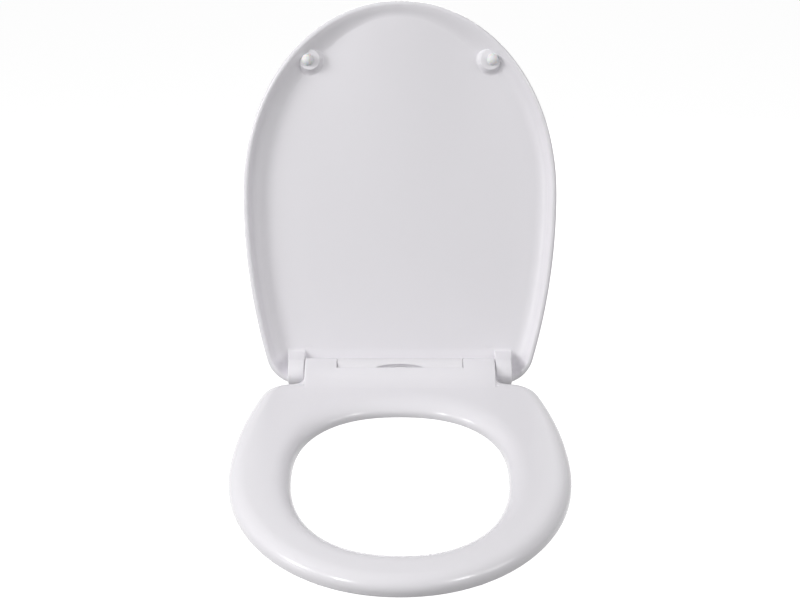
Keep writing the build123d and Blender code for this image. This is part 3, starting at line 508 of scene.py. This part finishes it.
def lidBody():
    # one loop per station along a U from lug to lug: back, outer roll, rim, cove, panel, rear lip;
    # towards the front tip the cove lies flatter and the panel rises to meet it
    p, normal = seatOutline(lid, lid["around"] * 4)
    rearLine = (np.abs(p[:, 1] - lid["rear"]) < 1e-6) & (np.abs(p[:, 0]) < lid["endX"])
    ends = np.array([[lid["endX"], lid["rear"]]])
    p = np.concatenate([ends, p[~rearLine], ends * (-1, 1)])
    normal = np.concatenate([[(0, -1)], normal[~rearLine], [(0, -1)]])
    run = np.concatenate([[0], np.linalg.norm(np.diff(p, axis=0), axis=1).cumsum()])
    at = np.linspace(0, run[-1], lid["around"])
    p = np.stack([np.interp(at, run, p[:, k]) for k in (0, 1)], -1)
    normal = np.stack([np.interp(at, run, normal[:, k]) for k in (0, 1)], -1)
    normal /= np.linalg.norm(normal, axis=1, keepdims=True)
    lineX = lid["endX"] * (1 - 2 * at / run[-1])

    def edge(profile):  # (inset, height) points round the outline, one profile or one for each station
        profile = np.broadcast_to(profile, (len(profile), len(p), 2))
        return np.concatenate([p[None] - normal[None] * profile[..., :1], profile[..., 1:]], -1)

    def line(profile):  # (forward, height) points along the straight rear edge
        flat = np.broadcast_to(profile[:, None], (len(profile), len(p), 2))
        return np.concatenate([np.broadcast_to(lineX[None, :, None], flat.shape[:2] + (1,)), flat], -1)

    tip = np.clip((p[:, 1] - lid["tipFrom"]) / (lid["front"] - lid["tipFrom"]), 0, 1) ** lid["tipPower"]
    buried = np.clip((lid["endX"] + lid["bury"] - np.abs(p[:, 0])) / lid["bury"], 0, 1) * (p[:, 1] < 0)
    ease = np.clip((p[:, 1] - lid["easeFrom"]) / (lid["front"] - lid["easeFrom"]), 0, 1) ** lid["easePower"]
    first = lid["coveStart"] - lid["ease"] * ease
    second = lid["coveSteep"] - lid["ease"] * ease
    r, e, q, bow = lid["back"], lid["rimEdge"], lid["rimRound"], lid["coveBow"]
    turn = np.radians(first * np.linspace(0, 1, 9)[:, None])
    centre = np.array([e + lid["rimFlat"], lid["rim"] + q])
    crest = centre + q * np.stack([np.sin(turn), -np.cos(turn)], -1)
    turn = np.radians(first + (second - first) * np.linspace(0, 1, 9)[1:, None])
    lean = np.radians(first)
    centre = centre + (q - bow) * np.stack([np.sin(lean), -np.cos(lean)], -1)
    slope = centre + bow * np.stack([np.sin(turn), -np.cos(turn)], -1)
    last = slope[-1]
    level = lid["panel"] - lid["tipLift"] * tip
    knee = np.stack([last[:, 0] + (level - last[:, 1]) / np.tan(np.radians(second)), level], -1)
    foot = lid["coveEnd"] + lid["easeSpread"] * ease - lid["tipDraw"] * tip
    clear = lid["lipReach"] + lid["lipBlend"] - lid["rear"] + lid["lipClear"]
    foot = np.stack([foot + (clear - foot) * buried, level], -1)
    around = np.concatenate([
        edge(bend((r, lid["top"] - r), r, 90, 180, 18)[:, None]),
        edge(bend((e, lid["rim"] + e), e, 180, 270, 8)[:, None]),
        edge(np.concatenate([crest, slope, swoop(last, knee, foot, 24)])),
    ])
    q, x, fall = lid["lipRound"], lid["lipEdge"], lid["panel"] - lid["lipDepth"]
    steep = fall / (lid["lipReach"] - x)
    blend = np.array([lid["lipBlend"], 0.0])
    bendAt = np.array([lid["lipReach"], lid["panel"]])
    bendEnd = bendAt - lid["lipBlend"] * np.array([1, steep])
    low = np.array([x + q, lid["lipDepth"] + steep * q])
    rear = line(path(
        bendAt + blend, swoop(bendAt + blend, bendAt, bendEnd, 8), between(bendEnd, low, 5), low,
        bend((x + q, low[1] + q), q, lid["lipTurn"], 180, 6), bend((x + q, lid["top"] - q), q, 180, 90, 6),
    ))
    panel = between(around[-1], rear[0], 24)
    fade = np.linspace(1, 0, 26)[1:-1, None] ** lid["fadePower"]
    panel[..., 2] = lid["panel"] - (lid["panel"] - level) * fade
    return np.concatenate([around, panel, rear, between(rear[-1], around[0], 16)])


def lidEnd(side):  # flat end beside a lug, from the lid's back to its rim
    r, x, rim = lid["back"], lid["lipEdge"], lid["rim"]
    heel = bend((r + lid["rear"], lid["top"] - r), r, 90, 180, 18)
    close = path(heel, (lid["rear"], rim), (lid["endBack"], rim), (x, lid["endLow"]), (x, lid["top"]))
    flat = across(np.full(2, side * lid["endX"]), np.stack([close] * 2))
    flat[1, :, 0] += side * lid["endThick"]
    return flat


def lidLug(side):
    # round of the hinge line joined to the panel by straight tangents, its outer side spreading to the panel;
    # the round's radius grows by swell * cos(angle from swellAt)^2 towards the ring's rear edge
    r, t = hinge["radius"], (lid["panel"] + lid["top"]) / 2
    tip, heel = np.array([lugs["reach"], t]), np.array([lid["rear"] + lid["back"], t])

    def tangent(p, way):  # angle at which a line from p touches the round
        return np.degrees(np.arctan2(p[1], p[0]) - way * np.arccos(r / np.hypot(*p)))

    arc = bend((0, 0), r, tangent(tip, 1), tangent(heel, -1) - 360, lugs["arcPoints"])
    away = np.arctan2(arc[:, 1], arc[:, 0]) - radians(lugs["swellAt"])
    swell = lugs["swell"] * np.cos(away).clip(0) ** 2 * np.sqrt(np.sin(np.linspace(0, pi, len(arc))).clip(0))
    arc *= 1 + swell[:, None] / r
    slope = (tip - arc[0]) / np.linalg.norm(tip - arc[0])
    knee = tip - slope * (t - lid["panel"]) / slope[1]
    foot = knee + np.array([lugs["fillet"], -lugs["sink"]])
    face = knee - slope * lugs["fillet"]
    lead = path(heel, (foot[0], t), foot, swoop(foot, knee, face, 8), between(face, arc[0], 8))
    profile = path(lead, arc, between(arc[-1], heel, 6))[::-1]
    body = prism(profile, lugs["inner"], lugs["outer"], lugs["rounding"])
    share = (body[..., 0] - lugs["inner"]) / (lugs["outer"] - lugs["inner"])
    body[..., 0] += lugs["flare"] * share * np.clip(body[..., 2] / lid["panel"], 0, 1)
    return body * (side, 1, 1)


def lidBoss(side):
    # cone with a soft foot on the panel and a rounded top for the buffer, kept under the lid's back
    b, q = bosses, bosses["rounding"]
    top = lid["panel"] - b["height"]
    knee, edge = np.array([b["base"], lid["panel"] + b["sink"]]), np.array([b["top"] + b["lean"], top + q])
    profile = path(
        knee + (b["fillet"], 0), swoop(knee + (b["fillet"], 0), knee, knee + (edge - knee) * 0.5, 8),
        bend((b["top"] - b["rimIn"], top + q), q, 345, 270, 8), (b["pole"], top),
    )
    body = spun(profile) + (side * b["across"], b["forward"], 0)
    outline, r = seatOutline(lid, 900)[0], lid["back"]
    gap = np.linalg.norm(body[:, :, None, :2] - outline, axis=-1).min(-1)
    roof = lid["top"] - r + np.sqrt(r ** 2 - (r - gap.clip(0, r)) ** 2)
    body[..., 2] = np.minimum(body[..., 2], roof - lid["wall"])
    return body


lidShells = [grid(lidPlace(lidBody()), False, True)]
lidShells += [grid(lidPlace(lidEnd(side)), True, False, capV=(0, 1)) for side in (-1, 1)]
lidShells += [grid(lidPlace(lidLug(side)), True, False, capV=(0, 1)) for side in (-1, 1)]
lidShells += [grid(lidPlace(lidBoss(side)), True, False, capV=(0, 1)) for side in (-1, 1)]
addPiece("lidShell", lidShells, "lid", ["lid"], mouldingLook)

lidBuffer = dict(
    across=108.0, radius=7.0, tip=4.3, skirt=2.4, collar=0.6, collarAt=0.7, collarTop=1.5, stem=3.0,
    stemLength=6.0, pole=4.0,
)


def bufferDome(side):  # half ellipse over a short skirt and a rounded collar, with the stem behind it
    b, seat = lidBuffer, lid["panel"] - bosses["height"]
    r, q = b["radius"] - b["collar"], b["collar"]
    a = np.radians(np.linspace(b["pole"], 90, 18))
    dome = np.stack([r * np.sin(a), seat - b["skirt"] - (seat - b["skirt"] - b["tip"]) * np.cos(a)], -1)
    profile = path(
        dome, (r, seat - b["collarTop"]), bend((r, seat - b["collarAt"]), q, -70, 70, 8), (r, seat),
        (b["stem"], seat), (b["stem"], seat + b["stemLength"]),
    )
    return spun(profile) + (side * b["across"], bosses["forward"], 0)


for side, name in ((-1, "left"), (1, "right")):
    shells = [grid(lidPlace(bufferDome(side)), True, False, capV=(0, 1))]
    addPiece(f"lidBuffer{name.title()}", shells, "lid", [f"lid_buffer_{name}"], lidBufferLook)

bar = dict(
    halfLength=73.6, drop=19.7, recess=(31.2, 7.6), floor=10.0, hole=(15.4, 4.8), under=7.6, rim=0.9,
    wall=2.5, endRound=0.7, holeRound=0.4, dish=1.5, dishRim=0.5, perSide=72, spreadPower=1.8,
    rimRows=((0.15, 0.0, 0.35), (0.45, 0.45, 0.12)), endThick=0.4, footStep=3.0,
)
button = dict(
    half=(15.0, 4.4), top=13.8, rounding=0.6, crown=0.35, flange=(17.0, 6.4), flangeBottom=6.0, flangeTop=7.3,
    leg=(3.0, 7.0), legHalfWidth=5.0, wedgeLength=9.0, wedgeTip=4.0, wedgeBottom=-16.35, wedgeTop=-13.15,
    legRound=0.2, around=96, pole=0.02,
)


def barBody():
    # rings from the button's hole up a dish that rises as k^1.5 to its rim, then over the bar's round;
    # a rim row is how far it grows, the growth at which the round is read, and its drop below that
    r, tilt, length = hinge["radius"], radians(hinge["deckAngle"]), bar["halfLength"]
    frontEdge, backEdge = -r * tilt, r * (pi - tilt)
    low, high = frontEdge - bar["drop"], backEdge + bar["drop"]
    run, n = np.linspace(0, 1, bar["perSide"], endpoint=False), np.ones(bar["perSide"])
    x = np.concatenate([n, 1 - 2 * run, -n, 2 * run - 1]) * length
    girth = np.concatenate([low + (high - low) * run, high * n, high + (low - high) * run, low * n])
    turn = np.arctan2(np.where(girth > 0, girth / high, girth / -low), x / length)

    def oval(size, grow):  # both axes of an ellipse made longer by grow
        return (size[0] + grow) * np.cos(turn), (size[1] + grow) * np.sin(turn)

    def level(size, grow, height):  # that ellipse at a height, or at one height for each point
        u, v = oval(size, grow)
        return np.stack([u, v, np.broadcast_to(height, u.shape)], -1)

    def skin(grow):  # height of the bar's round over the grown rim: sqrt(r^2 - v^2)
        return np.sqrt(r ** 2 - oval(bar["recess"], grow)[1] ** 2)

    f, q, hole, recess = bar["floor"], bar["holeRound"], bar["hole"], bar["recess"]
    rows = [level(hole, 0, bar["under"]), level(hole, 0, f - q), level(hole, q, f)]
    rise = skin(0) - bar["dishRim"] - f
    for k in np.linspace(0, 1, 14)[1:]:
        size = [h + q + (w - h - q) * k for h, w in zip(hole, recess)]
        rows.append(level(size, 0, f + rise * k ** bar["dish"]))
    rows += [level(recess, grow, skin(over) - drop) for grow, over, drop in bar["rimRows"]]
    deckRows = deckPlace(np.stack(rows))
    u, v = oval(recess, bar["rim"])
    start = np.stack([u, r * np.arcsin(v / r)], -1)
    spread = 1 - (1 - np.linspace(0, 1, 32)[:, None, None]) ** bar["spreadPower"]
    flat = start[None] * (1 - spread) + np.stack([x, girth], -1)[None] * spread
    g = flat[..., 1]
    angle = np.clip(g, frontEdge, backEdge) / r + tilt
    down = np.where(g < frontEdge, g - frontEdge, np.where(g > backEdge, backEdge - g, 0))
    past = np.clip((np.abs(flat[..., 0]) - length + bar["endRound"]) / bar["endRound"], 0, 1)
    drawn = r - bar["endRound"] * (1 - np.sqrt(1 - past ** 2))
    skinRows = seatPlace(np.stack([flat[..., 0], drawn * np.cos(angle), drawn * np.sin(angle) + down], -1))
    return np.concatenate([deckRows, skinRows])


def barEnd(side):  # end face within the bar's rounded ends
    r = hinge["radius"] - bar["endRound"]
    arc = path((r, -bar["drop"]), bend((0, 0), r, 0, 180, 40), (-r, -bar["drop"]))
    return across(side * (bar["halfLength"] - np.array([0.0, bar["endThick"]])), np.stack([arc, arc]))


def barFoot():  # lower edge of the walls, with a step up inside
    a, b, w = bar["halfLength"] - bar["endRound"], hinge["radius"], bar["wall"]
    draw = np.array([[0.0], [w], [w], [0.0]])
    x = np.array([[1, 1, -1, -1]]) * (a - draw)
    s = np.array([[1, -1, -1, 1]]) * (b - draw)
    z = np.array([[0.0], [0.0], [1.0], [1.0]]) * bar["footStep"] - bar["drop"] + np.zeros((4, 4))
    return np.stack([x, s, z], -1)


barShells = [grid(barBody(), True, False)]
barShells += [grid(seatPlace(barEnd(side)), True, False, capV=(0, 1)) for side in (-1, 1)]
barShells += [grid(seatPlace(barFoot()))]
addPiece("hingeBar", barShells, "hinge_base", ["hinge_housing"], barLook)


def buttonOval(size, grow, height):  # level ellipse, both axes made longer by grow
    a = np.linspace(0, 2 * pi, button["around"], endpoint=False)
    x, y = (size[0] + grow) * np.cos(a), (size[1] + grow) * np.sin(a)
    return np.stack([x, y, np.full(len(a), height)], -1)


def buttonTop():  # oval with a rounded edge and a slightly crowned face
    b, q = button, button["rounding"]
    curve = np.radians(np.linspace(0, 90, 7))
    wall = [buttonOval(b["half"], -q * (1 - cos(k)), b["top"] - q * (1 - sin(k))) for k in curve]
    share = np.linspace(1, b["pole"], 10)[1:, None]
    face = wall[-1][None, :, :2] * share[..., None]
    crown = np.broadcast_to(b["top"] + b["crown"] * (1 - share ** 2), face.shape[:2])
    foot = buttonOval(b["half"], 0, b["flangeTop"])
    return np.concatenate([foot[None], np.stack(wall), np.concatenate([face, crown[..., None]], -1)])


def buttonLeg():  # upright leg under the flange, cut to the deck's slant
    a, low = radians(hinge["deckAngle"]), button["wedgeBottom"]
    slant = [(x, (button["flangeTop"] - x * cos(a)) / sin(a)) for x in button["leg"][::-1]]
    leg = path(*[(x, low) for x in button["leg"]], *slant)
    return prism(leg, -button["legHalfWidth"], button["legHalfWidth"], button["legRound"])


def buttonWedge():  # wedge in plan, its point towards the rear
    b, long = button, button["wedgeLength"]
    plan = path((-long, long - b["wedgeTip"]), (long, long - b["wedgeTip"]), (0, -b["wedgeTip"]))
    levels = np.array([b["wedgeBottom"], b["wedgeTop"]])[:, None, None]
    return np.concatenate([np.stack([plan] * 2), np.broadcast_to(levels, (2, 3, 1))], -1)


flange = np.stack([buttonOval(button["flange"], 0, button[k]) for k in ("flangeBottom", "flangeTop")])
buttonShells = [grid(deckPlace(rows), True, False, capV=(0, 1)) for rows in (buttonTop(), flange)]
buttonShells += [grid(seatPlace(rows), True, False, capV=(0, 1)) for rows in (buttonLeg(), buttonWedge())]
addPiece("releaseButton", buttonShells, "button", ["release_button"], buttonLook)

stud = dict(
    across=77.5, head=6.3, headRound=0.8, headBottom=2.8, headTop=5.8, shoulder=4.6, shank=4.0, grip=14.0,
    thread=3.6, depth=0.55, pitch=1.25, length=19.0, chamfer=0.8, runOut=0.6, headEdge=0.5, around=40,
)


def studShank():
    # turned profile below the head; on the thread the radius falls by the distance to the nearest
    # crest of a helix, saw-toothed once in every pitch
    b = stud
    end = -b["grip"] - b["length"]
    z = np.linspace(-b["grip"] - b["runOut"], end, 150)
    limit = np.clip(b["thread"] - b["chamfer"] + (z - end), 0, b["thread"])
    wide, shank = b["shoulder"], b["shank"]
    lead = path((wide, b["headBottom"]), (wide, 0.0), (shank, 0.0), (shank, -b["grip"]))
    a = np.linspace(0, 2 * pi, b["around"], endpoint=False)
    wave = np.abs(((z[:, None] / b["pitch"] + a[None] / (2 * pi)) % 1) - 0.5) * 2
    radius = np.minimum(b["thread"] - b["depth"] * wave, limit[:, None])
    radius = np.concatenate([np.broadcast_to(lead[:, :1], (len(lead), len(a))), radius])
    height = np.broadcast_to(np.concatenate([lead[:, 1], z])[:, None], radius.shape)
    return np.stack([radius * np.cos(a), radius * np.sin(a), height], -1)


def studHead():  # square head with rounded corners and edges
    b, q, low, high = stud, stud["headEdge"], stud["headBottom"], stud["headTop"]
    a = np.linspace(0, 2 * pi, 64, endpoint=False)
    draw = np.array([q, 0.0, 0.0, q])[:, None]
    level = np.array([low, low + q, high - q, high])[:, None]
    corner = b["head"] - b["headRound"]
    x = corner * np.sign(np.cos(a)).clip(-1, 1) + (b["headRound"] - draw) * np.cos(a)
    y = corner * np.sign(np.sin(a)).clip(-1, 1) + (b["headRound"] - draw) * np.sin(a)
    return np.stack([x, y, np.broadcast_to(level, x.shape)], -1)


for side, name in ((-1, "left"), (1, "right")):
    move = np.array([side * stud["across"], 0, 0])
    shells = [grid((rows + move) * mm, True, False, capV=(0, 1)) for rows in (studShank(), studHead())]
    node = f"fixing_stud_{name}"
    addPiece(f"fixingStud{name.title()}", shells, f"adjuster_{name}", [node], steelLook)

finishes = {  # of the pieces kept from the frame
    "seat_buffer": seatBufferLook, "housing_base": innerLook, "cover_screw": steelLook,
    "latch_spring": springLook, "latch": steelLook, "damper_case": damperLook, "damper_cap": damperLook,
    "damper_shaft": shaftLook, "ring_bush": bushLook, "lid_bush": bushLook, "fixing_plate": fixingLook,
    "plate_gasket": gasketLook, "cone_washer": gasketLook, "wing_nut": fixingLook,
}
for name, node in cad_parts.items():
    start = next((key for key in finishes if name.startswith(key)), None)
    if start:
        node.data.materials.clear()
        node.data.materials.append(finishes[start])
print("finishes given to the frame's own pieces")

studio = dict(
    floorLevel=-0.45, floorSize=30.0, floorGrey=0.3, floorGlow=0.9, world=0.2, aim=(0.0, -0.15, 0.12),
)
lamps = dict(  # azimuth from the front, elevation, distance, size and watts; some show no mirror image
    key=dict(azimuth=-42.0, elevation=38.0, distance=2.2, size=(0.16, 0.16), power=8.8),
    left=dict(azimuth=-75.0, elevation=29.0, distance=2.2, size=(0.95, 0.95), power=18.5, glossy=False),
    leftGlint=dict(azimuth=-75.0, elevation=29.0, distance=2.15, size=(0.4, 0.4), power=8.0),
    leftLow=dict(azimuth=-70.0, elevation=5.0, distance=2.2, size=(0.7, 0.7), power=2.8),
    right=dict(azimuth=70.0, elevation=30.0, distance=2.2, size=(0.7, 0.7), power=6.0),
    rightFront=dict(azimuth=46.0, elevation=40.0, distance=2.2, size=(0.4, 0.4), power=8.6),
    back=dict(azimuth=180.0, elevation=4.0, distance=2.4, size=(0.9, 0.9), power=26.0),
    top=dict(azimuth=0.0, elevation=88.0, distance=2.4, size=(2.6, 2.6), power=8.8, glossy=False),
)
corners = np.array([[-1, -1, 0], [1, -1, 0], [1, 1, 0], [-1, 1, 0]]) * studio["floorSize"] / 2
floorMesh = bpy.data.meshes.new("floor")
floorMesh.from_pydata((corners + (0, 0, studio["floorLevel"])).tolist(), [], [[0, 1, 2, 3]])
floor = bpy.data.objects.new("floor", floorMesh)
scene.collection.objects.link(floor)
grey, black, glow, white = ((level,) * 3 for level in (studio["floorGrey"], 0.0, studio["floorGlow"], 1.0))
floorLook = finish(
    "paleFloor", Base_Color=grey + (1,), Roughness=1.0, Emission_Strength=1.0, Specular_IOR_Level=0.0,
)
floorMesh.materials.append(floorLook.feed(Emission_Color=floorLook.mix(floorLook.seen(), black, glow)))
scene.world = bpy.data.worlds.new("studio")
worldLook = Look(scene.world, "Background", Strength=1.0)
worldLook.feed(Color=worldLook.mix(worldLook.seen(), (studio["world"],) * 3, white))

for name, row in lamps.items():
    light = bpy.data.lights.new(name + "Light", "AREA")
    light.shape, light.energy = "RECTANGLE", row["power"]
    light.size, light.size_y = row["size"]
    lamp = bpy.data.objects.new(name + "Light", light)
    scene.collection.objects.link(lamp)
    a, e = radians(row["azimuth"]), radians(row["elevation"])
    towards = Vector((sin(a) * cos(e), -cos(a) * cos(e), sin(e)))
    lamp.location = Vector(studio["aim"]) + towards * row["distance"]
    lamp.rotation_euler = towards.to_track_quat("Z", "Y").to_euler()
    lamp.visible_glossy = row.get("glossy", True)
print("studio lit by", len(lamps), "lamps")

shot = dict(place=(0.0, -1.632, 0.900), tilt=25.58, lens=70.52, sensor=36.0)
camera = bpy.data.objects.new("camera", bpy.data.cameras.new("camera"))
scene.collection.objects.link(camera)
camera.location = shot["place"]
camera.rotation_euler = (radians(90 - shot["tilt"]), 0, 0)
camera.data.sensor_fit = "HORIZONTAL"
camera.data.lens, camera.data.sensor_width = shot["lens"], shot["sensor"]
scene.camera = camera
